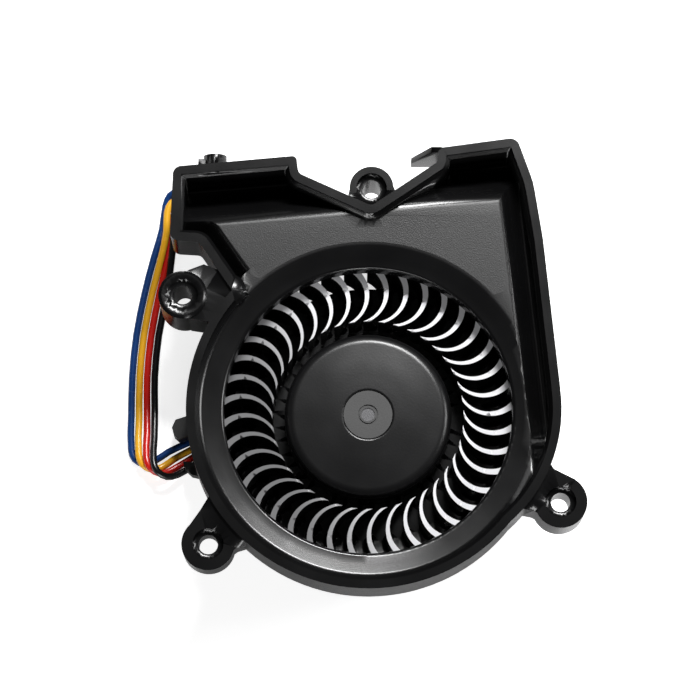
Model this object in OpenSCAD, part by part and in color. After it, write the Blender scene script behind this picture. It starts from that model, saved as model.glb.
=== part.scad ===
// Centrifugal DC blower: front cover with a dished face, rear casing, forward-curved impeller on an
// outer-rotor motor, and four leads to a small plug. It lies on its back; the rotor axis is Z.

/* [Housing] */
// Height of the whole housing, back face to rim
housing_h = 28; // [24:0.5:36]
// Height at which the front cover meets the rear casing
split_z = 14.5; // [12:0.5:18]
// Radius of the round end of the front cover
cover_r = 40; // [39.5:0.5:48]
// Width of the flat land along the rim
rim_w = 1.9; // [1.4:0.1:2.4]
// Width of the inner step of the rim
rim_step_w = 0.8; // [0.4:0.1:1.2]
// Drop from the rim to the step
rim_step_drop = 1.1; // [0.6:0.1:1.6]
// Thickness of the cover's front plate
plate_t = 1.8; // [1.2:0.1:2.4]
// Drop from the rim to the raised middle of the plate
plateau_drop = 2; // [1:0.25:4]
// Drop from the rim to the trough along the top wall
top_trough_drop = 11.5; // [6:0.5:11.5]
// Drop from the rim to the trough along the right wall
side_trough_drop = 7; // [3:0.5:7]
// Thickness of the rear casing's walls
casing_t = 1.5; // [1.2:0.1:2]
// Thickness of the rear casing's floor
floor_t = 2; // [1.5:0.1:2.5]

/* [Inlet] */
// Radius of the inlet's throat
inlet_r = 31.8; // [28:0.1:32]
// Depth of the bell mouth
bell_h = 4; // [2:0.25:4.5]
// Radial width of the rounded lip
bell_w = 0.9; // [0.5:0.1:1.2]

/* [Ears] */
// Radius of the screw holes
hole_r = 2.1; // [1.6:0.05:2.2]
// Radius of the counterbores
counterbore_r = 3.4; // [2.8:0.1:3.8]
// Depth of the counterbores
counterbore_h = 1.4; // [0.6:0.1:3]
// Radius of the ears' rounded ends
ear_r = 5.7; // [5:0.1:6.5]
// Drop from the rim to the ears' faces
ear_drop = 0.8; // [0.4:0.1:1.6]

/* [Impeller] */
// Outer radius of the impeller
impeller_r = 34.2; // [30:0.1:34.4]
// Number of blades
blade_count = 40; // [24:1:44]
// Radius at the blades' inner tips
blade_in_r = 21.2; // [20.4:0.1:24]
// Height of the blades
blade_h = 15.3; // [10:0.1:15.5]
// Gap under the blades
blade_lift = 2.2; // [1.6:0.1:3]
// Radius of the hub cup
hub_r = 18.6; // [17.6:0.1:19.4]
// Radius of the plate that carries the blades
web_r = 30.7; // [26:0.1:32]
// Thickness of the hub's wall and of that plate
hub_t = 1.1; // [0.9:0.05:1.3]

/* [Motor] */
// Radius of the shaft
shaft_r = 1.5; // [1:0.05:1.6]
// Outer radius of the bearings
bearing_r = 3.5; // [3.2:0.1:3.8]
// Height of each bearing
bearing_h = 2.6; // [2:0.1:3]
// Wall of the bearing tube
tube_t = 0.9; // [0.6:0.1:1.2]
// Thickness of the steel yoke
yoke_t = 0.8; // [0.6:0.05:1]
// Thickness of the magnet ring
magnet_t = 1.5; // [1:0.1:2]
// Air gap between magnet and stator
air_gap = 0.4; // [0.3:0.05:0.6]
// Number of stator poles
pole_count = 4; // [4:1:6]

/* [Leads] */
// Outer diameter of each lead's insulation
lead_d = 1.6; // [1.6:0.1:1.6]

/* [Hidden] */
$fn = 96;
eps = 0.01;
running_gap = 0.03;   // radial, shaft in bearing
press_gap = 0;        // parts that are pressed or glued together

// Corners [x, y, radius] of the duct part of the cover, counter-clockwise, about the rotor axis.
duct_path = [[42.2, 4, 0], [38.8, 38, 30], [36.8, 51, 20], [33.2, 61.3, 2.2], [15.9, 58.9, 0.9],
    [15.4, 55.6, 0.9], [0.8, 45.6, 1.5], [-15.5, 53.1, 1.6], [-16, 57.1, 1.0], [-43.4, 54.6, 1.9],
    [-44, 37.8, 1.8], [-37.6, 37.4, 1.6], [-28, 23.3, 0], [20, -10, 0]];
bulge = [8.7, 33.7];                 // centre offset and radius of the fuller right side
kink = [-30.6, 26.6];                // where the diagonal meets the round end
// Corners of the rear casing's duct.
rear_path = [[39.6, 4, 0], [36.4, 38, 30], [35, 50, 0], [-29.5, 50, 0], [-29.5, 22, 0], [20, -10, 0]];
rear_inset = 3.1;                    // rear casing's round wall inside the cover's
mouth_y = 50;                        // plane of the duct's mouth

ear_z = housing_h - ear_drop;
// Ears: centre x, y, radius, thickness, half width of the neck, distance to the neck's root
ears = [[0.8, 49.9, 4.9, 12.5], [42, -20.8, 5.8, 9.5], [-34.9, -30.1, 5.8, 6.5]];
left_ear = [-41, 25.4];
left_ear_t = 12.5;
collar_r = 5.4;
collar_h = 0.8;

plateau_z = housing_h - plateau_drop;
lip_z = plateau_z - 1;
lip_r = inlet_r + bell_w;

blade_z = floor_t + blade_lift;
blade_top = blade_z + blade_h;
web_z = blade_z + 3.8;
hub_top = blade_top - 0.2;
ring_w = 0.9;
ring_h = 1.2;

tube_r = bearing_r + tube_t;
tube_z = 1.2;
tube_top = hub_top - 4.6;
yoke_r = hub_r - hub_t;
magnet_r = yoke_r - yoke_t;
stator_r = magnet_r - magnet_t - air_gap;
stator_z = 7.4;
stator_h = 5;
board_z = 3.2;
board_t = 1.2;
board_r = 16.6;

// Rotor axis in the part's frame: the origin is the middle of the housing's footprint.
x_max = ears[1][0] + ears[1][2];
x_min = left_ear[0] - collar_r;
y_max = 61.1;
y_min = -cover_r;
axis_at = [-(x_max + x_min) / 2, -(y_max + y_min) / 2, 0];

lead_r = lead_d / 2;
lead_y = [-1.3, -3.1, -4.9, -6.7];   // where each lead crosses the casing's wall
pad_x = -16.6;                       // where the leads end, at their solder joints

// ---------- helpers ----------
function unit(v) = v / norm(v);
function left_of(v) = [-v[1], v[0]];
function xy(p) = [p[0], p[1]];
function edge_dir(path, i) = let (n = len(path))
    unit(xy(path[(i + 1) % n]) - xy(path[i % n]));
// The same corners moved inward by d, each radius kept concentric.
function inset(path, d) = let (n = len(path)) [for (i = [0:n - 1])
    let (a = edge_dir(path, i + n - 1), b = edge_dir(path, i),
        p = xy(path[i]) + d * (left_of(a) + left_of(b)) / (1 + a * b),
        turn = cross(a, b), r = path[i][2])
    [p[0], p[1], r == 0 ? 0 : (turn > 0 ? max(r - d, 0.3) : r + d)]];
// Corner i as the points of its fillet.
function fillet(path, i) = let (n = len(path), p = xy(path[i]), r = path[i][2],
        a = edge_dir(path, i + n - 1), b = edge_dir(path, i), turn = cross(a, b),
        half = acos(max(-1, min(1, a * b))) / 2)
    r == 0 || half < 0.3 ? [p] :
    let (side = turn > 0 ? 1 : -1, start = p - a * r * tan(half),
        c = start + side * r * left_of(a), steps = max(2, ceil(half / 6)), s = start - c)
    [for (k = [0:steps]) let (w = side * 2 * half * k / steps)
        c + [s[0] * cos(w) - s[1] * sin(w), s[0] * sin(w) + s[1] * cos(w)]];
function outline_points(path) = [for (i = [0:len(path) - 1]) each fillet(path, i)];

module at_axis() { translate(axis_at) children(); }
module ring(r_out, r_in, z, h) {
    translate([0, 0, z]) linear_extrude(h) difference() { circle(r_out); circle(r_in); }
}
module on_ring(count, start = 0) {
    for (i = [0:count - 1]) rotate([0, 0, start + i * 360 / count]) children();
}

// ---------- front cover ----------
module cover_outline(d) {
    circle(cover_r - d);
    translate([bulge[0], 0]) circle(bulge[1] - d);
    polygon(outline_points(inset(duct_path, d)));
}
// Floor plan of the space inside the rim, with a full round at the kink.
module inside_rim(d) {
    difference() {
        cover_outline(d);
        translate(kink) circle(d + 0.9);
    }
}
// Everything under a surface that rises from low to high over a width, inward from a wall at p.
module below_slope(p, angle, low, high, start, width) {
    steps = 14;
    slope = [for (k = [0:steps]) [start + width * k / steps, low + (high - low) * (1 - cos(180 * k / steps)) / 2]];
    translate([p[0], p[1], 0]) rotate([0, 0, angle]) rotate([90, 0, 0])
        linear_extrude(240, center = true)
            polygon(concat([[-9, 0], [-9, low]], slope, [[130, high], [130, 0]]));
}
module below_plate() {
    difference() {
        intersection() {
            below_slope([0, 57.2], 275, housing_h - top_trough_drop, plateau_z, 2.4, 10.5);
            below_slope([42.6, 0], 185.9, housing_h - side_trough_drop, plateau_z, 3.4, 5.4);
            union() {
                below_slope([-37.6, 37.4], 34.6, plateau_z - 4, plateau_z, rim_w, 4.2);
                below_slope([-40, 37.6], 90, plateau_z - 4, plateau_z, rim_w, 4.2);
                cylinder(r = cover_r + 1, h = plateau_z);
            }
        }
        bell_dish();
    }
}
// Shallow dish around the inlet.
module bell_dish() {
    rotate_extrude() polygon([[0, lip_z], [lip_r, lip_z], [lip_r + 1.6, lip_z + 0.25],
        [lip_r + 3.6, lip_z + 0.75], [lip_r + 5.2, plateau_z], [lip_r + 5.2, plateau_z + 5], [0, plateau_z + 5]]);
}
module cover_plate() {
    difference() {
        intersection() {
            linear_extrude(housing_h) inside_rim(rim_w / 2);
            below_plate();
        }
        translate([0, 0, -plate_t]) below_plate();
        translate([0, 0, -1]) cylinder(r = lip_r, h = housing_h);
    }
}
// Rounded lip of the inlet, from the dish down to the throat.
module bell_mouth() {
    rotate_extrude() difference() {
        translate([inlet_r, lip_z - bell_h]) square([bell_w + 1.1, bell_h]);
        difference() {
            translate([inlet_r - eps, lip_z - bell_w]) square(bell_w + eps);
            translate([lip_r, lip_z - bell_w]) circle(bell_w);
        }
    }
}
module cover_walls() {
    translate([0, 0, split_z]) linear_extrude(housing_h - split_z) difference() {
        cover_outline(0);
        inside_rim(rim_w);
    }
    translate([0, 0, split_z]) linear_extrude(housing_h - split_z - rim_step_drop) difference() {
        cover_outline(rim_w / 2);
        inside_rim(rim_w + rim_step_w);
    }
}
// Shelf that seats on the rear casing's wall.
module cover_shelf() {
    translate([0, 0, split_z]) linear_extrude(1.7) difference() {
        cover_outline(rim_w / 2);
        rear_outline(casing_t);
        translate([-29.5 - 60, 24]) square([60, 60]);
        translate([-60, mouth_y - 2]) square([120, 60]);
    }
}
// Wall that closes the duct's left side above the rear casing.
module cutwater_wall() {
    intersection() {
        translate([-29.5, 24, split_z]) cube([casing_t, mouth_y - 24, housing_h]);
        difference() { below_plate(); translate([0, 0, -30]) cylinder(r = inlet_r + 4, h = 60); }
    }
}
module ear(e) {
    translate([e[0], e[1], ear_z - e[3]]) cylinder(r = e[2], h = e[3]);
}
module ear_necks() {
    // right ear
    translate([0, 0, ear_z - ears[1][3]]) linear_extrude(ears[1][3])
        polygon([[38.6, -10.5], [40.6, -13.6], [45.2, -15.9], [44.6, -25.9], [38.8, -24.3], [36, -22.9], [33.2, -22.3]]);
    // lower left ear
    translate([0, 0, ear_z - ears[2][3]]) linear_extrude(ears[2][3])
        polygon([[-34.8, -19.6], [-36.6, -22.6], [-39.1, -26.2], [-32, -35.1], [-30.4, -32.4], [-28.6, -31], [-26, -30.2]]);
    // top ear
    translate([0, 0, ear_z - ears[0][3]]) linear_extrude(ears[0][3])
        polygon([[-6, 47.4], [-4.4, 48.2], [-3.9, 50.4], [5.4, 50.9], [6, 49.4], [7.4, 48.6], [0.8, 43.6]]);
    // left ear
    translate([0, 0, ear_z - left_ear_t]) linear_extrude(left_ear_t)
        polygon([[-40, 31], [-36.4, 32.4], [-33.4, 31.2], [-29.5, 26.6], [-33.2, 20.2], [-35.6, 19.4], [-39.6, 20]]);
}
module left_ear_boss() {
    translate([left_ear[0], left_ear[1], ear_z - left_ear_t]) cylinder(r = collar_r, h = left_ear_t);
    translate([left_ear[0], left_ear[1], ear_z - eps]) rotate_extrude()
        polygon([[0, 0], [collar_r, 0], [collar_r, 0.35], [collar_r - 0.7, collar_h], [collar_r - 1.1, collar_h], [0, collar_h]]);
}
module ear_holes() {
    for (e = ears) translate([e[0], e[1], 0]) {
        cylinder(r = hole_r, h = housing_h);
        translate([0, 0, ear_z - counterbore_h]) cylinder(r = counterbore_r, h = housing_h);
    }
    translate([left_ear[0], left_ear[1], 0]) {
        cylinder(r = hole_r, h = housing_h + 2);
        translate([0, 0, ear_z]) cylinder(r = counterbore_r, h = housing_h);
    }
}
module locating_peg() {
    translate([-34.2, 57.8, housing_h - 3.4]) rotate([90, 0, 0]) cylinder(r = 2.6, h = 4.4);
    translate([-37.9, 53.6, housing_h - 5.2]) cube([1.6, 3.2, 3.6]);
}
module corner_gusset() {
    translate([0, 59.4, 0]) rotate([90, 0, 0]) linear_extrude(1.3)
        polygon([[16.6, split_z], [16.6, housing_h - 1], [14.2, housing_h - 1], [9.8, split_z + 3], [9.8, split_z]]);
}
module front_cover() {
    color([0.06, 0.06, 0.065]) at_axis() difference() {
        union() {
            cover_walls();
            cover_plate();
            bell_mouth();
            cover_shelf();
            cutwater_wall();
            for (e = ears) ear(e);
            ear_necks();
            left_ear_boss();
            locating_peg();
            corner_gusset();
        }
        ear_holes();
    }
}

// ---------- rear casing ----------
module rear_outline(d) {
    circle(cover_r - rear_inset - d);
    polygon(outline_points(inset(rear_path, d)));
}
slot_y = [-7.8, -0.2];               // the leads' slot in the casing's wall
// The duct's floor stops short of the mouth on its left half, round the impeller.
module floor_cut() {
    difference() {
        translate([-29.5 - 1, 20]) square([34.3, 40]);
        circle(inlet_r);
    }
}
module rear_casing() {
    color([0.05, 0.05, 0.055]) at_axis() difference() {
        union() {
            // floor
            linear_extrude(floor_t) difference() {
                rear_outline(0);
                difference() { floor_cut(); translate([-29.5, 0]) square([casing_t, 60]); }
            }
            // walls
            linear_extrude(split_z) difference() {
                rear_outline(0);
                rear_outline(casing_t);
                translate([-29.5 + casing_t, mouth_y - 10]) square([64.5 - 2 * casing_t + 0.6, 20]);
            }
            // raised floor over the leads' channel
            translate([-36, slot_y[0] - 1, 0]) cube([20, slot_y[1] - slot_y[0] + 2, floor_t + 1]);
            // boss for the bearing tube
            cylinder(r = tube_r + 1.4, h = board_z);
            // seats for the circuit board
            on_ring(3, 30) translate([13.4, 0, 0]) cylinder(r = 1.3, h = board_z);
            // lead hooks
            translate([0, 0, floor_t + 1]) linear_extrude(4) {
                polygon([[-35.5, 2.6], [-41, 2], [-43.4, 1.2], [-44.2, -0.6], [-43.7, -2.4], [-42.6, -3.4],
                    [-36, -0.7]]);
                polygon([[-35, -8.9], [-41.6, -8.4], [-41.2, -9.9], [-39.6, -11.4], [-36.2, -12.2], [-34.2, -11.4]]);
            }
        }
        // bearing tube's seat
        translate([0, 0, tube_z]) cylinder(r = tube_r, h = housing_h);
        cylinder(r = bearing_r - 0.5, h = housing_h);
        // recess of the back cap
        translate([0, 0, -1]) cylinder(r = 9, h = 1 + 0.7);
        // channel for the leads, open to the back
        translate([-60, slot_y[0], -1]) cube([60 - 13, slot_y[1] - slot_y[0], 1 + lead_d + 0.4]);
        translate([-23, slot_y[0], -1]) cube([10, slot_y[1] - slot_y[0], 10]);
        // broken corner round the back
        difference() {
            translate([0, 0, -1]) cylinder(r = cover_r + 4, h = 3.2 + 1);
            translate([0, 0, -1]) cylinder(r1 = cover_r - rear_inset - 3.2 - 1, r2 = cover_r - rear_inset, h = 3.2 + 1);
            translate([-60, 8, -2]) cube([120, 80, 10]);
            translate([-60, -12.4, -2]) cube([60, 26, 10]);
        }
    }
}
// ---------- motor, fixed part ----------
module bearing_tube() {
    color([0.78, 0.62, 0.3]) at_axis() difference() {
        translate([0, 0, tube_z]) cylinder(r = tube_r, h = tube_top - tube_z);
        translate([0, 0, tube_z - 1]) cylinder(r = bearing_r - 0.5, h = housing_h);
        translate([0, 0, tube_z + 0.8]) cylinder(r = bearing_r, h = bearing_h + 0.4);
        translate([0, 0, tube_top - bearing_h - 0.4]) cylinder(r = bearing_r, h = housing_h);
    }
}
lower_bearing_z = tube_z + 0.8;
upper_bearing_z = tube_top - bearing_h;
module bearing(z) {
    at_axis() translate([0, 0, z]) rotate_extrude() difference() {
        translate([shaft_r + running_gap, 0]) square([bearing_r - shaft_r - running_gap, bearing_h]);
        translate([shaft_r + 0.55, bearing_h - 0.2]) square([bearing_r - shaft_r - 1.05, 1]);
        translate([shaft_r + 0.55, -0.8]) square([bearing_r - shaft_r - 1.05, 1]);
    }
}
module lower_bearing() { color("silver") bearing(lower_bearing_z); }
module upper_bearing() { color("silver") bearing(upper_bearing_z); }
module preload_spring() {
    color("silver") at_axis() ring(bearing_r - 0.02, bearing_r - 0.9, upper_bearing_z - 0.4, 0.4);
}
module stator_core() {
    color([0.45, 0.46, 0.48]) at_axis() translate([0, 0, stator_z]) linear_extrude(stator_h) difference() {
        union() {
            circle(tube_r + 2.6);
            on_ring(pole_count) {
                translate([0, -1.7]) square([stator_r - 0.6, 3.4]);
                intersection() {
                    difference() { circle(stator_r); circle(stator_r - 1.5); }
                    polygon([[0, 0], [30, -30 * tan(150 / pole_count)], [30, 30 * tan(150 / pole_count)]]);
                }
            }
        }
        circle(tube_r + press_gap);
    }
}
module insulator(z, h) {
    translate([0, 0, z]) linear_extrude(h) difference() {
        union() {
            circle(tube_r + 2.9);
            on_ring(pole_count) translate([0, -2.1]) square([stator_r - 1.2, 4.2]);
        }
        circle(tube_r);
    }
}
module upper_insulator() { color([0.9, 0.88, 0.8]) at_axis() insulator(stator_z + stator_h, 0.8); }
module lower_insulator() { color([0.9, 0.88, 0.8]) at_axis() insulator(stator_z - 0.8, 0.8); }
coil_t = 1.1;
module coil_windings() {
    color([0.72, 0.35, 0.14]) at_axis() on_ring(pole_count) translate([tube_r + 3.4, 0, stator_z - 0.8])
        difference() {
            translate([0, -2.1 - coil_t, -coil_t]) cube([stator_r - tube_r - 5.4, 4.2 + 2 * coil_t,
                stator_h + 1.6 + 2 * coil_t]);
            translate([-1, -2.1, 0]) cube([20, 4.2, stator_h + 1.6]);
        }
}
pin_at = tube_r + 2.3;
module terminal_pins() {
    color("gold") at_axis() on_ring(4, 45) translate([pin_at, 0, board_z + 0.2])
        translate([-0.3, -0.3, 0]) cube([0.6, 0.6, stator_z - 0.8 - board_z - 0.2]);
}
module circuit_board() {
    color([0.1, 0.35, 0.2]) at_axis() translate([0, 0, board_z]) linear_extrude(board_t) difference() {
        circle(board_r);
        circle(tube_r + 0.1);
        on_ring(4, 45) translate([pin_at, 0]) circle(0.55, $fn = 24);
    }
}
board_top = board_z + board_t;
module driver_chip() {
    color([0.12, 0.12, 0.13]) at_axis() rotate([0, 0, 45]) translate([9.4, -2.5, board_top]) {
        cube([4, 5, 0.9]);
        for (y = [0.5:1.25:4.4]) translate([-0.7, y, 0]) cube([5.4, 0.4, 0.25]);
    }
}
module hall_sensor() {
    color([0.12, 0.12, 0.13]) at_axis() rotate([0, 0, 60]) translate([stator_r - 0.6, -1.5, board_top])
        cube([1, 3, 1]);
}
module filter_capacitor() {
    color([0.75, 0.65, 0.45]) at_axis() rotate([0, 0, 120]) translate([10, -1, board_top]) cube([3.2, 2, 1.3]);
}
module solder_joints() {
    color("silver") at_axis() for (y = lead_y) translate([pad_x, y - 0.7, board_z - 1]) cube([1.8, 1.4, 1]);
}
module back_cap() {
    color([0.1, 0.1, 0.1]) at_axis() cylinder(r = 8.9, h = 0.6);
}

// ---------- rotor ----------
// Blade section: a crescent between two arcs, thin at the inner tip, hollow side towards the turn.
blade_c = [27.3, 7.4];
blade_out = 7.7;
blade_in = 6.75;
blade_shift = 0.55;
module blade_section() {
    intersection() {
        difference() {
            translate(blade_c) circle(blade_out);
            translate(blade_c - [blade_shift, 0]) circle(blade_in);
        }
        difference() { circle(impeller_r - 0.2); circle(blade_in_r); }
        translate([18, -3]) square([20, 8.4]);
    }
}
module impeller() {
    color([0.07, 0.07, 0.075]) at_axis() {
        translate([0, 0, blade_z]) linear_extrude(blade_h) on_ring(blade_count) blade_section();
        ring(impeller_r, impeller_r - ring_w, blade_top - ring_h, ring_h);
        rotate_extrude() difference() {
            union() {
                // cup and dome
                translate([0, web_z]) square([hub_r, hub_top - 2.4 - web_z]);
                translate([0, web_z]) square([hub_r - 2.4, hub_top - 0.6 - web_z]);
                translate([hub_r - 2.4, hub_top - 3]) circle(2.4);
                polygon([[0, hub_top], [6, hub_top], [11, hub_top - 0.22], [hub_r - 2.4, hub_top - 0.6], [0, web_z]]);
                // plate that carries the blades
                polygon([[yoke_r, web_z], [27.4, web_z], [29.6, web_z + 0.4], [web_r, web_z + 1.1],
                    [web_r, web_z + 2], [29.2, web_z + 1.5], [27.2, web_z + hub_t], [yoke_r, web_z + hub_t]]);
            }
            translate([-1, web_z - 1]) square([yoke_r + 1, hub_top - 1.9 - web_z + 1]);
            translate([-1, hub_top - 0.7]) square([5.4 + 1, 5]);
            translate([-1, 0]) square([3 + 1, 40]);
        }
    }
}
yoke_top = hub_top - 1.9;
module rotor_yoke() {
    color([0.6, 0.6, 0.62]) at_axis() rotate_extrude() difference() {
        translate([3, web_z - 1.4]) square([yoke_r - 3, yoke_top - web_z + 1.4]);
        translate([-1, web_z - 3]) square([magnet_r + 1, yoke_top - yoke_t - web_z + 3]);
    }
}
module magnet_ring() {
    color([0.2, 0.19, 0.18]) at_axis() ring(magnet_r, magnet_r - magnet_t, web_z - 1.4, 8.6);
}
shaft_z = tube_z - 0.2;
module shaft() {
    color("silver") at_axis() difference() {
        translate([0, 0, shaft_z]) cylinder(r = shaft_r, h = hub_top - 0.1 - shaft_z);
        translate([0, 0, shaft_z + 0.35]) ring(shaft_r + 1, shaft_r - 0.3, 0, 0.3);
    }
}
module hub_bushing() {
    color([0.8, 0.65, 0.35]) at_axis() ring(3, shaft_r, tube_top + 0.7, hub_top - 0.7 - tube_top - 0.7);
}
module hub_disc() {
    color([0.35, 0.35, 0.36]) at_axis() rotate_extrude() difference() {
        translate([shaft_r, hub_top - 0.7]) square([5.4 - shaft_r, 0.8]);
        translate([1.9, hub_top - 0.15]) square([0.35, 1]);
    }
}
module thrust_washer() {
    color([0.9, 0.9, 0.85]) at_axis() ring(2.4, shaft_r, tube_top + 0.3, 0.4);
}
module retaining_clip() {
    color([0.3, 0.3, 0.32]) at_axis() ring(2.5, shaft_r - 0.3, shaft_z + 0.35, 0.3);
}

// ---------- leads and plug ----------
// Each lead's route about the rotor axis, from its solder joint to its crimp.
route_blue = [[-16.6, -1.3, 2.3], [-17.8, -1.3, 2.3], [-22, -1.3, 1], [-36.8, -1.3, 1],
    [-41, -3.1, 0.8], [-45.2, -5.1, 0.8], [-48.37, -7.2, 0.8], [-50.67, -7.89, 0.8],
    [-52.83, -6.84, 0.8], [-53.7, -4.6, 0.8], [-53.8, 3.5, 0.8], [-53.7, 12.3, 0.8], [-52.9, 22, 0.8],
    [-51.1, 32, 0.8], [-49.1, 40.4, 0.8], [-47.3, 47, 0.8], [-46.6, 52.6, 0.8], [-45.63, 54.93, 1.3],
    [-43.3, 55.9, 2.3], [-40.8, 55.9, 2.3]];
route_yellow = [[-16.6, -3.1, 2.3], [-17.8, -3.1, 2.3], [-22, -3.1, 1], [-36.8, -3.1, 1],
    [-40.6, -4.9, 0.8], [-44, -6.8, 0.8], [-46.57, -8.6, 0.8], [-48.87, -9.29, 1.6],
    [-51.03, -8.24, 2.55], [-51.9, -6, 2.5], [-52, 2.5, 1.2], [-52, 12.3, 0.8], [-51.2, 22, 0.8],
    [-49.4, 32, 0.8], [-47.3, 40.4, 1.9], [-46.2, 46, 2.5], [-46.1, 50.6, 2.5], [-45.13, 52.93, 2.45],
    [-42.8, 53.9, 2.3], [-40.8, 53.9, 2.3]];
route_red = [[-16.6, -4.9, 2.3], [-17.8, -4.9, 2.3], [-22, -4.9, 1], [-36.8, -4.9, 1],
    [-40.2, -6.7, 0.8], [-44.77, -9.6, 1.4], [-47.07, -10.29, 2.3], [-49.23, -9.24, 3.7],
    [-50.1, -7, 3.5], [-50.1, -1, 1.8], [-50.25, 5, 0.8], [-50.3, 12.3, 0.8], [-49.5, 22, 0.8],
    [-47.7, 32, 0.8], [-45.9, 40.4, 0.8], [-45.3, 46, 0.8], [-45.2, 48.6, 0.8], [-44.23, 50.93, 1.3],
    [-41.9, 51.9, 2.3], [-40.8, 51.9, 2.3]];
route_black = [[-16.6, -6.7, 2.3], [-17.8, -6.7, 2.3], [-22, -6.7, 1], [-36.8, -6.7, 1],
    [-39.8, -8.5, 1.2], [-43.07, -10.6, 2.2], [-45.37, -11.29, 3.7], [-47.53, -10.24, 4.9],
    [-48.4, -8, 4.6], [-48.4, -2, 2.4], [-48.5, 5, 0.8], [-48.6, 12.3, 0.8], [-47.8, 22, 0.8],
    [-46, 32, 1], [-44.9, 40.4, 2.4], [-44.6, 44, 2.5], [-44.5, 46.6, 2.5], [-43.53, 48.93, 2.4],
    [-41.2, 49.9, 2.3], [-40.8, 49.9, 2.3]];
module lead(points) {
    n = len(points);
    sides = 8;
    rings = [for (i = [0:n - 1]) let (t = unit(points[min(i + 1, n - 1)] - points[max(i - 1, 0)]),
        u = unit(cross([0, 0, 1], t)), v = cross(t, u))
        for (k = [0:sides - 1]) points[i] + lead_r * (u * cos(360 * k / sides) + v * sin(360 * k / sides))];
    faces = concat([[for (k = [0:sides - 1]) k]], [[for (k = [1:sides]) n * sides - k]],
        [for (i = [0:n - 2], k = [0:sides - 1]) let (a = i * sides, m = (k + 1) % sides)
            each [[a + k, a + sides + k, a + sides + m], [a + k, a + sides + m, a + m]]]);
    at_axis() polyhedron(rings, faces);
}
module lead_blue() { color([0.05, 0.2, 0.6]) lead(route_blue); }
module lead_yellow() { color([0.85, 0.75, 0.1]) lead(route_yellow); }
module lead_red() { color([0.75, 0.1, 0.1]) lead(route_red); }
module lead_black() { color([0.05, 0.05, 0.05]) lead(route_black); }

plug_x = -40.8;
plug_y = [49.9, 51.9, 53.9, 55.9];
plug_size = [8, 9.8, 4.4];
crimp = 1.2;
crimp_z = 2.3;
module plug_housing() {
    color([0.93, 0.92, 0.88]) at_axis() difference() {
        union() {
            translate([plug_x, plug_y[0] - 1.9, 0]) cube(plug_size);
            for (y = plug_y) translate([plug_x + 1.2, y - 0.4, 0]) cube([4.4, 0.8, plug_size[2] + 0.3]);
            translate([plug_x, plug_y[0] - 2.4, 0.6]) cube([2.6, plug_size[1] + 1, 2.4]);
        }
        for (y = plug_y) translate([plug_x - 1, y - crimp / 2, crimp_z - crimp / 2])
            cube([plug_size[0] + 2, crimp, crimp]);
    }
}
module plug_contacts() {
    color("gold") at_axis() for (y = plug_y) translate([plug_x, y - crimp / 2, crimp_z - crimp / 2])
        difference() {
            cube([6.4, crimp, crimp]);
            translate([2.2, 0.25, 0.25]) cube([10, crimp - 0.5, crimp - 0.5]);
            translate([1.6, -1, 0.7]) cube([0.8, 4, 2]);
        }
}

front_cover();
rear_casing();
bearing_tube();
lower_bearing();
upper_bearing();
preload_spring();
stator_core();
upper_insulator();
lower_insulator();
coil_windings();
terminal_pins();
circuit_board();
driver_chip();
hall_sensor();
filter_capacitor();
solder_joints();
back_cap();
impeller();
rotor_yoke();
magnet_ring();
shaft();
hub_bushing();
hub_disc();
thrust_washer();
retaining_clip();
lead_blue();
lead_yellow();
lead_red();
lead_black();
plug_housing();
plug_contacts();
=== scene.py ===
import bpy
import math
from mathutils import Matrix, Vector


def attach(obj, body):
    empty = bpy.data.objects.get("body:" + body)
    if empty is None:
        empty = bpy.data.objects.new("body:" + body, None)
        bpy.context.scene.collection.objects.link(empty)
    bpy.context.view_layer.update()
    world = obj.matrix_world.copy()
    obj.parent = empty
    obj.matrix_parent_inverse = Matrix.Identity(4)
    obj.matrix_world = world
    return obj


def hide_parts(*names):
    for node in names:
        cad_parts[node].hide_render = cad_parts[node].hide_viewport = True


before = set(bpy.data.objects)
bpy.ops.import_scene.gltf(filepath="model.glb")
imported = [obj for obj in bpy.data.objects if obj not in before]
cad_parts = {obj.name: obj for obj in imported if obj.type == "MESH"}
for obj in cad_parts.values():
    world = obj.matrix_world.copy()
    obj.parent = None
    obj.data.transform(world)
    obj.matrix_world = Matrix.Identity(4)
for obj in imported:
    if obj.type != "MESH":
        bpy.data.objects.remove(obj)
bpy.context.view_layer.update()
mm = 0.001
axisAt = (-0.7, -10.55)  # the rotor's axis from the middle of the housing's footprint, in mm
print("frame loaded")


def spot(x, y, z):
    # a place given in mm from the rotor's axis, in the row frame's metres
    return Vector(((x + axisAt[0]) * mm, (y + axisAt[1]) * mm, z * mm))


def deselect():
    if bpy.context.mode != "OBJECT":
        bpy.ops.object.mode_set(mode="OBJECT")
    bpy.ops.object.select_all(action="DESELECT")


def only(piece):
    deselect()
    piece.select_set(True)
    bpy.context.view_layer.objects.active = piece


# ---- camera ----
picture = {"aim": (-4.0, 12.8, 28.0), "tilt": 12.0, "distance": 700.0, "lens": 163.6, "sensor": 36.0,
           "nearest": 0.01, "farthest": 10.0}


def placeCamera(look):
    tilt = math.radians(look["tilt"])
    back = Vector((0, -math.sin(tilt), math.cos(tilt))) * look["distance"] * mm
    camera = bpy.data.objects.new("studioCamera", bpy.data.cameras.new("studioCamera"))
    bpy.context.scene.collection.objects.link(camera)
    camera.location = spot(*look["aim"]) + back
    camera.rotation_euler = (tilt, 0, 0)
    camera.data.lens = look["lens"]
    camera.data.sensor_width = look["sensor"]
    camera.data.clip_start = look["nearest"]
    camera.data.clip_end = look["farthest"]
    bpy.context.scene.camera = camera


placeCamera(picture)

# ---- shader maths ----


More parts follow.
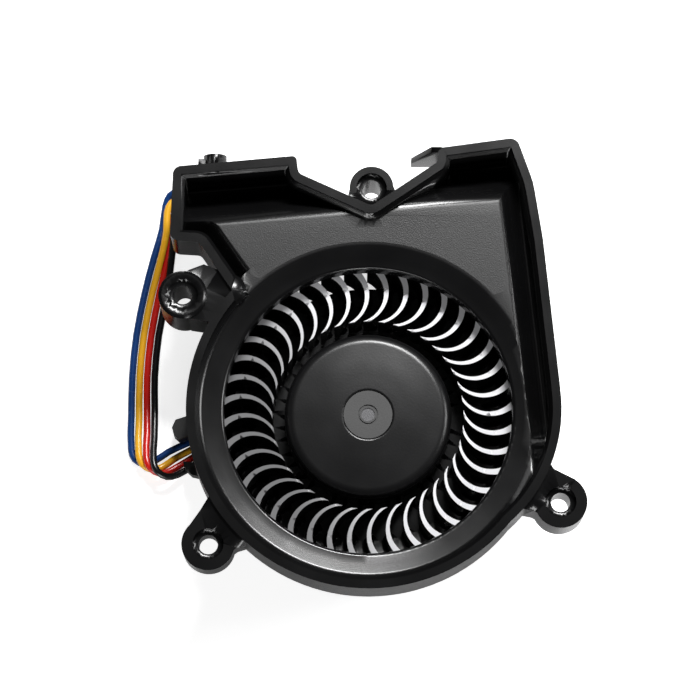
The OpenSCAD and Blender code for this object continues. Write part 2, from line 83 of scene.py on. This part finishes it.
class Field:
    # one shader value, so that a material reads as sums of masks and colours
    def __init__(self, tree, socket):
        self.tree = tree
        self.socket = socket

    def maths(self, how, *others):
        node = self.tree.nodes.new("ShaderNodeMath")
        node.operation = how
        for place, value in enumerate((self,) + others):
            feed(self.tree, node.inputs[place], value)
        return Field(self.tree, node.outputs[0])

    def __add__(self, other):
        return self.maths("ADD", other)

    def __radd__(self, other):
        return self.maths("ADD", other)

    def __sub__(self, other):
        return self.maths("SUBTRACT", other)

    def __rsub__(self, other):
        return self.constant(other).maths("SUBTRACT", self)

    def __mul__(self, other):
        return self.maths("MULTIPLY", other)

    def __rmul__(self, other):
        return self.maths("MULTIPLY", other)

    def __truediv__(self, other):
        return self.maths("DIVIDE", other)

    def constant(self, number):
        node = self.tree.nodes.new("ShaderNodeValue")
        node.outputs[0].default_value = number
        return Field(self.tree, node.outputs[0])

    def between(self, low, high):
        # 0 below low, 1 above high, smooth in between
        node = self.tree.nodes.new("ShaderNodeMapRange")
        node.interpolation_type = "SMOOTHSTEP"
        feed(self.tree, node.inputs["Value"], self)
        node.inputs["From Min"].default_value = low
        node.inputs["From Max"].default_value = high
        return Field(self.tree, node.outputs[0])

    def mixed(self, low, high):
        # the colour low where this is 0 and high where it is 1
        node = self.tree.nodes.new("ShaderNodeMix")
        node.data_type = "RGBA"
        feed(self.tree, node.inputs[0], self)
        feed(self.tree, node.inputs[6], low)
        feed(self.tree, node.inputs[7], high)
        return Field(self.tree, node.outputs[2])


def feed(tree, socket, value):
    if isinstance(value, Field):
        tree.links.new(value.socket, socket)
    elif isinstance(value, (tuple, list)) and socket.type == "RGBA":
        socket.default_value = (*value[:3], 1)
    else:
        socket.default_value = value


def addNode(tree, kind, setup=None, out=0, **inputs):
    node = tree.nodes.new(kind)
    for name, value in (setup or {}).items():
        setattr(node, name, value)
    for name, value in inputs.items():
        feed(tree, node.inputs[name.replace("_", " ")], value)
    return Field(tree, node.outputs[out])


def newFinish(name):
    finish = bpy.data.materials.new(name)
    finish.use_nodes = True
    tree = finish.node_tree
    tree.nodes.clear()
    sheen = tree.nodes.new("ShaderNodeBsdfPrincipled")
    output = tree.nodes.new("ShaderNodeOutputMaterial")
    tree.links.new(sheen.outputs[0], output.inputs[0])
    return finish, tree, sheen


def places(tree):
    # x, y and z in metres in the row frame, because every piece's object sits at the origin
    coords = addNode(tree, "ShaderNodeTexCoord", out=3)
    split = tree.nodes.new("ShaderNodeSeparateXYZ")
    tree.links.new(coords.socket, split.inputs[0])
    return coords, [Field(tree, split.outputs[i]) for i in range(3)]


def facing(tree):
    split = tree.nodes.new("ShaderNodeSeparateXYZ")
    tree.links.new(addNode(tree, "ShaderNodeNewGeometry", out=1).socket, split.inputs[0])
    return [Field(tree, split.outputs[i]) for i in range(3)]


def grain(tree, coords, size, detail=2.0, rough=0.5):
    # a noise whose blobs are about size mm wide
    return addNode(tree, "ShaderNodeTexNoise", Vector=coords, Scale=1 / (size * mm), Detail=detail,
                   Roughness=rough)


def bump(tree, height, depth, strength=1.0):
    return addNode(tree, "ShaderNodeBump", Height=height, Distance=depth * mm, Strength=strength)


def multiplied(tree, colour, tint):
    # the colour, made lighter or darker by a tint that varies round 1
    shade = addNode(tree, "ShaderNodeMix", {"data_type": "RGBA", "blend_type": "MULTIPLY"}, 2)
    sockets = shade.socket.node.inputs
    sockets[0].default_value = 1
    feed(tree, sockets[6], colour)
    feed(tree, sockets[7], tint)
    return shade


# ---- finishes ----
# colours are linear; grain and depth are the bumps' width and height in mm
plasticLooks = {
    "coverPlastic": {
        "colour": (0.003, 0.003, 0.0032), "rough": 0.24, "textured": 0.42, "grain": 0.28, "depth": 0.035,
        "plateau": 26.0},
    "casingPlastic": {
        "colour": (0.006, 0.006, 0.0063), "rough": 0.3, "textured": 0.42, "grain": 0.3, "depth": 0.02},
    "impellerPlastic": {
        "colour": (0.006, 0.006, 0.0063), "rough": 0.26, "textured": 0.3, "grain": 0.4, "depth": 0.012,
        # the blade tips and the ring get a pale painted highlight in their base colour, though the real
        # impeller is black all over
        "tips": {"inner": 21.0, "top": 19.5, "colour": (0.8, 0.8, 0.82), "least": 0.2}},
    "discPlastic": {
        "colour": (0.045, 0.045, 0.045), "rough": 0.34, "textured": 0.5, "grain": 0.3, "depth": 0.01},
}


def etchedMask(flat, z, look):
    # 1 where the mould was etched: all flat faces or, on the cover, its sheet alone, which lies above
    # the dish and under the rim's land
    if "plateau" not in look:
        return flat
    height = z / mm
    above = height.between(look["plateau"] - 0.15, look["plateau"] - 0.05)
    return flat * above * (1 - height.between(look["plateau"] + 0.5, look["plateau"] + 1))


def paintedHighlightMask(x, y, z, tips):
    # 1 on the blades' tips and the ring, where a pale painted highlight stands in for the lamps' glints all
    # round; the painted highlight is least at the lower left
    across, up = x / mm - axisAt[0], y / mm - axisAt[1]
    outside = (across * across + up * up).between(tips["inner"] ** 2 - 8, tips["inner"] ** 2)
    atTop = (z / mm).between(tips["top"] - 0.5, tips["top"] - 0.1)
    # painted light falloff: the painted highlight fades towards the lower left, the side away from the lamps
    lit = (across * 0.94 + up * 0.34).between(-24, 6)
    return outside * atTop * (lit * (1 - tips["least"]) + tips["least"])


def mouldedPlastic(name):
    look = plasticLooks[name]
    finish, tree, sheen = newFinish(name)
    coords, (x, y, z) = places(tree)
    fine = grain(tree, coords, look["grain"], 3)
    broad = grain(tree, coords, 9, 2)
    etched = etchedMask(facing(tree)[2].between(0.55, 0.9), z, look)
    shade = multiplied(tree, look["colour"], (fine - 0.5) * 0.3 + (broad - 0.5) * 0.3 + 1)
    # the painted highlight: a pale colour on the blade tips and the ring, in place of the lamps' glints
    if "tips" in look:
        shade = paintedHighlightMask(x, y, z, look["tips"]).mixed(shade, look["tips"]["colour"])
    roughness = etched * (look["textured"] - look["rough"]) + look["rough"] + (broad - 0.5) * 0.08
    feed(tree, sheen.inputs["Base Color"], shade)
    feed(tree, sheen.inputs["Roughness"], roughness)
    feed(tree, sheen.inputs["Normal"], bump(tree, fine * (etched * 0.85 + 0.15), look["depth"]))
    sheen.inputs["IOR"].default_value = 1.5
    return finish


def plainMetal(name, colour, rough, grainSize=0.2):
    finish, tree, sheen = newFinish(name)
    coords, _ = places(tree)
    marks = grain(tree, coords, grainSize, 4, 0.6)
    wear = grain(tree, coords, grainSize * 12, 2)
    feed(tree, sheen.inputs["Base Color"], wear.mixed([c * 0.82 for c in colour], colour))
    feed(tree, sheen.inputs["Roughness"], (marks - 0.5) * 0.2 + rough)
    sheen.inputs["Metallic"].default_value = 1
    feed(tree, sheen.inputs["Normal"], bump(tree, marks, 0.004))
    return finish


def plainPlastic(name, colour, rough, grainSize=0.3, depth=0.01, coat=0.0):
    finish, tree, sheen = newFinish(name)
    coords, _ = places(tree)
    fine = grain(tree, coords, grainSize, 3)
    cloud = grain(tree, coords, grainSize * 20, 2)
    darker, lighter = [c * 0.86 for c in colour], [min(1, c * 1.08) for c in colour]
    feed(tree, sheen.inputs["Base Color"], cloud.mixed(darker, lighter))
    feed(tree, sheen.inputs["Roughness"], (cloud - 0.5) * 0.12 + rough)
    feed(tree, sheen.inputs["Normal"], bump(tree, fine, depth))
    sheen.inputs["Coat Weight"].default_value = coat
    return finish


finishes = {
    "bearing_tube": plainMetal("turnedBrass", (0.72, 0.52, 0.22), 0.3),
    "lower_bearing": plainMetal("groundSteel", (0.6, 0.6, 0.62), 0.25),
    "stator_core": plainMetal("stampedLamination", (0.32, 0.32, 0.34), 0.5),
    "upper_insulator": plainPlastic("insulatorPlastic", (0.75, 0.72, 0.62), 0.45),
    "coil_windings": plainPlastic("enamelledWire", (0.5, 0.17, 0.05), 0.25, 0.25, 0.05, 0.4),
    "terminal_pins": plainMetal("tinnedBrass", (0.74, 0.68, 0.52), 0.3),
    "circuit_board": plainPlastic("solderMask", (0.02, 0.13, 0.06), 0.3, 0.6, 0.01, 0.5),
    "driver_chip": plainPlastic("chipPackage", (0.03, 0.03, 0.032), 0.55),
    "filter_capacitor": plainPlastic("ceramicBody", (0.45, 0.33, 0.18), 0.5),
    "solder_joints": plainMetal("solderAlloy", (0.7, 0.7, 0.7), 0.2),
    "rotor_yoke": plainMetal("drawnSteel", (0.5, 0.5, 0.52), 0.35),
    "magnet_ring": plainPlastic("bondedFerrite", (0.06, 0.055, 0.05), 0.6, 0.15, 0.02),
    "thrust_washer": plainPlastic("washerPolymer", (0.75, 0.74, 0.68), 0.45),
    "retaining_clip": plainMetal("blackenedSpring", (0.2, 0.2, 0.21), 0.4),
    "back_cap": plainPlastic("capFilm", (0.03, 0.03, 0.03), 0.5),
    "plug_housing": plainPlastic("plugNylon", (0.78, 0.77, 0.72), 0.42),
}
sameAs = {
    "upper_bearing": "lower_bearing", "preload_spring": "lower_bearing", "shaft": "lower_bearing",
    "lower_insulator": "upper_insulator", "hall_sensor": "driver_chip", "hub_bushing": "bearing_tube",
    "plug_contacts": "terminal_pins"}
for nodeName, likeNode in sameAs.items():
    finishes[nodeName] = finishes[likeNode]
for nodeName, finish in finishes.items():
    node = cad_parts[nodeName]
    node.data.materials.clear()
    node.data.materials.append(finish)
print("finishes made")

# ---- moulded pieces, smoothed ----


smoothing = {"merge": 2e-6, "angle": 24, "weight": 100}


def smoothCopy(nodeName, pieceName, body, plastic):
    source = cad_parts[nodeName]
    piece = bpy.data.objects.new(pieceName, source.data.copy())
    bpy.context.scene.collection.objects.link(piece)
    only(piece)
    bpy.ops.object.mode_set(mode="EDIT")
    bpy.ops.mesh.select_all(action="SELECT")
    bpy.ops.mesh.remove_doubles(threshold=smoothing["merge"])
    bpy.ops.object.mode_set(mode="OBJECT")
    bpy.ops.object.shade_smooth_by_angle(angle=math.radians(smoothing["angle"]))
    # large flat faces keep their own normals, so that no long sliver shades across them
    evened = piece.modifiers.new("evened", "WEIGHTED_NORMAL")
    evened.keep_sharp = True
    evened.weight = smoothing["weight"]
    bpy.ops.object.modifier_apply(modifier=evened.name)
    piece.data.materials.clear()
    piece.data.materials.append(mouldedPlastic(plastic))
    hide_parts(nodeName)
    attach(piece, body)


smoothCopy("front_cover", "frontCover", "housing", "coverPlastic")
smoothCopy("rear_casing", "rearCasing", "housing", "casingPlastic")
smoothCopy("impeller", "bladedImpeller", "rotor", "impellerPlastic")
smoothCopy("hub_disc", "hubDisc", "rotor", "discPlastic")
print("moulded pieces smoothed")

# ---- leads ----
# the fourth point of each route is where the lead leaves the casing
leadLook = {"diameter": 1.6, "exitX": -36.8, "steps": 2, "roundness": 5}
leadColours = {
    "blue": (0.005, 0.04, 0.17), "yellow": (0.85, 0.43, 0.02), "red": (0.62, 0.015, 0.01),
    "black": (0.008, 0.008, 0.009)}
leadRoutes = {
    "blue": [(-16.6, -1.3, 2.3), (-17.8, -1.3, 2.3), (-22, -1.3, 1), (-36.8, -1.3, 1), (-41, -3.1, 0.8),
        (-45.2, -5.1, 0.8), (-48.37, -7.2, 0.8), (-50.67, -7.89, 0.8), (-52.83, -6.84, 0.8),
        (-53.7, -4.6, 0.8), (-53.8, 3.5, 0.8), (-53.7, 12.3, 0.8), (-52.9, 22, 0.8), (-51.1, 32, 0.8),
        (-49.1, 40.4, 0.8), (-47.3, 47, 0.8), (-46.6, 52.6, 0.8), (-45.63, 54.93, 1.3), (-43.3, 55.9, 2.3),
        (-40.8, 55.9, 2.3)],
    "yellow": [(-16.6, -3.1, 2.3), (-17.8, -3.1, 2.3), (-22, -3.1, 1), (-36.8, -3.1, 1), (-40.6, -4.9, 0.8),
        (-44, -6.8, 0.8), (-46.57, -8.6, 0.8), (-48.87, -9.29, 1.6), (-51.03, -8.24, 2.55), (-51.9, -6, 2.5),
        (-52, 2.5, 1.2), (-52, 12.3, 0.8), (-51.2, 22, 0.8), (-49.4, 32, 0.8), (-47.3, 40.4, 1.9),
        (-46.2, 46, 2.5), (-46.1, 50.6, 2.5), (-45.13, 52.93, 2.45), (-42.8, 53.9, 2.3), (-40.8, 53.9, 2.3)],
    "red": [(-16.6, -4.9, 2.3), (-17.8, -4.9, 2.3), (-22, -4.9, 1), (-36.8, -4.9, 1), (-40.2, -6.7, 0.8),
        (-44.77, -9.6, 1.4), (-47.07, -10.29, 2.3), (-49.23, -9.24, 3.7), (-50.1, -7, 3.5), (-50.1, -1, 1.8),
        (-50.25, 5, 0.8), (-50.3, 12.3, 0.8), (-49.5, 22, 0.8), (-47.7, 32, 0.8), (-45.9, 40.4, 0.8),
        (-45.3, 46, 0.8), (-45.2, 48.6, 0.8), (-44.23, 50.93, 1.3), (-41.9, 51.9, 2.3), (-40.8, 51.9, 2.3)],
    "black": [(-16.6, -6.7, 2.3), (-17.8, -6.7, 2.3), (-22, -6.7, 1), (-36.8, -6.7, 1), (-39.8, -8.5, 1.2),
        (-43.07, -10.6, 2.2), (-45.37, -11.29, 3.7), (-47.53, -10.24, 4.9), (-48.4, -8, 4.6), (-48.4, -2, 2.4),
        (-48.5, 5, 0.8), (-48.6, 12.3, 0.8), (-47.8, 22, 0.8), (-46, 32, 1), (-44.9, 40.4, 2.4),
        (-44.6, 44, 2.5), (-44.5, 46.6, 2.5), (-43.53, 48.93, 2.4), (-41.2, 49.9, 2.3), (-40.8, 49.9, 2.3)],
}


def leadFinish(name, colour):
    finish, tree, sheen = newFinish(name + "Insulation")
    coords, _ = places(tree)
    cloud = grain(tree, coords, 3, 2)
    fine = grain(tree, coords, 0.15, 2)
    feed(tree, sheen.inputs["Base Color"], cloud.mixed([c * 0.85 for c in colour], colour))
    feed(tree, sheen.inputs["Roughness"], (cloud - 0.5) * 0.1 + 0.26)
    feed(tree, sheen.inputs["Normal"], bump(tree, fine, 0.006))
    return finish


def alongRoute(points, steps):
    # points of a smooth line through the route's own, closer together
    line = []
    for i in range(len(points) - 1):
        near = [min(max(k, 0), len(points) - 1) for k in range(i - 1, i + 3)]
        before, start, end, after = (Vector(points[k]) for k in near)
        # a centripetal line doesn't swing wide of its points
        reach = [max((b - a).length ** 0.5, 1e-3) for a, b in ((before, start), (start, end), (end, after))]
        t1, t2, t3 = reach[0], reach[0] + reach[1], sum(reach)
        for step in range(steps):
            t = t1 + (t2 - t1) * step / steps
            a1 = start if i == 0 else before * ((t1 - t) / t1) + start * (t / t1)
            a2 = start * ((t2 - t) / (t2 - t1)) + end * ((t - t1) / (t2 - t1))
            a3 = end if i == len(points) - 2 else end * ((t3 - t) / (t3 - t2)) + after * ((t - t2) / (t3 - t2))
            b1 = a1 * ((t2 - t) / t2) + a2 * (t / t2)
            b2 = a2 * ((t3 - t) / (t3 - t1)) + a3 * ((t - t1) / (t3 - t1))
            line.append(b1 * ((t2 - t) / (t2 - t1)) + b2 * ((t - t1) / (t2 - t1)))
    return line + [Vector(points[-1])]


def layLead(name, route):
    line = alongRoute(route, leadLook["steps"])
    path = bpy.data.curves.new(name + "Lead", "CURVE")
    path.dimensions = "3D"
    path.bevel_depth = leadLook["diameter"] / 2 * mm
    path.bevel_resolution = leadLook["roundness"]
    path.use_fill_caps = True
    spline = path.splines.new("POLY")
    spline.points.add(len(line) - 1)
    for point, place in zip(spline.points, line):
        point.co = (*spot(*place), 1)
    spline.use_smooth = True
    lead = bpy.data.objects.new(name + "Lead", path)
    bpy.context.scene.collection.objects.link(lead)
    path.materials.append(leadFinish(name, leadColours[name]))
    length = sum((b - a).length for a, b in zip(line, line[1:])) * mm
    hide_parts("lead_" + name)
    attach(lead, "housing")
    spot(leadLook["exitX"], route[3][1], route[3][2])
    print(name, "lead is", round(length / mm, 1), "mm long")


for leadName, leadRoute in leadRoutes.items():
    layLead(leadName, leadRoute)

# ---- studio ----
studio = {"floor": 0.8, "floorSize": 6, "seenFloor": 0.75, "sky": 0.03}


def makeFloor():
    bpy.ops.mesh.primitive_plane_add(size=studio["floorSize"], location=(0, 0, 0))
    floor = bpy.context.object
    floor.name = "studioFloor"
    finish, tree, sheen = newFinish("palePaper")
    sheen.inputs["Base Color"].default_value = (studio["floor"],) * 3 + (1,)
    sheen.inputs["Roughness"].default_value = 0.9
    sheen.inputs["Specular IOR Level"].default_value = 0.1
    glow = addNode(tree, "ShaderNodeEmission", Color=(1, 1, 1),
                   Strength=addNode(tree, "ShaderNodeLightPath") * studio["seenFloor"])
    both = tree.nodes.new("ShaderNodeAddShader")
    tree.links.new(sheen.outputs[0], both.inputs[0])
    tree.links.new(glow.socket, both.inputs[1])
    tree.links.new(both.outputs[0], tree.nodes["Material Output"].inputs[0])
    floor.data.materials.append(finish)


def lightWorld():
    world = bpy.data.worlds.new("studioWorld")
    bpy.context.scene.world = world
    world.use_nodes = True
    tree = world.node_tree
    back = tree.nodes["Background"]
    seen = addNode(tree, "ShaderNodeLightPath")
    back.inputs["Color"].default_value = (1, 1, 1, 1)
    feed(tree, back.inputs["Strength"], seen * (1 - studio["sky"]) + studio["sky"])


# places are in metres from the middle of the footprint, sizes in metres, power in watts
lamps = {
    "mainLamp": {"place": (0.1, 0.42, 0.56), "size": (0.3, 0.14), "power": 7},
    "sideLamp": {"place": (0.6, 0.1, 0.3), "size": (0.2, 0.3), "power": 2},
    "frontLamp": {"place": (-0.1, -0.65, 0.2), "size": (0.5, 0.2), "power": 3},
}
lampAim = Vector((0, 0, 0.02))


def softbox(name, look):
    lamp = bpy.data.lights.new(name, "AREA")
    lamp.shape = "RECTANGLE"
    lamp.size, lamp.size_y = look["size"]
    lamp.energy = look["power"]
    holder = bpy.data.objects.new(name, lamp)
    bpy.context.scene.collection.objects.link(holder)
    holder.location = look["place"]
    holder.rotation_euler = (lampAim - Vector(look["place"])).to_track_quat("-Z", "Y").to_euler()


makeFloor()
lightWorld()
for lampName, lampLook in lamps.items():
    softbox(lampName, lampLook)
bpy.context.scene.view_settings.view_transform = "Standard"
print("studio lit")
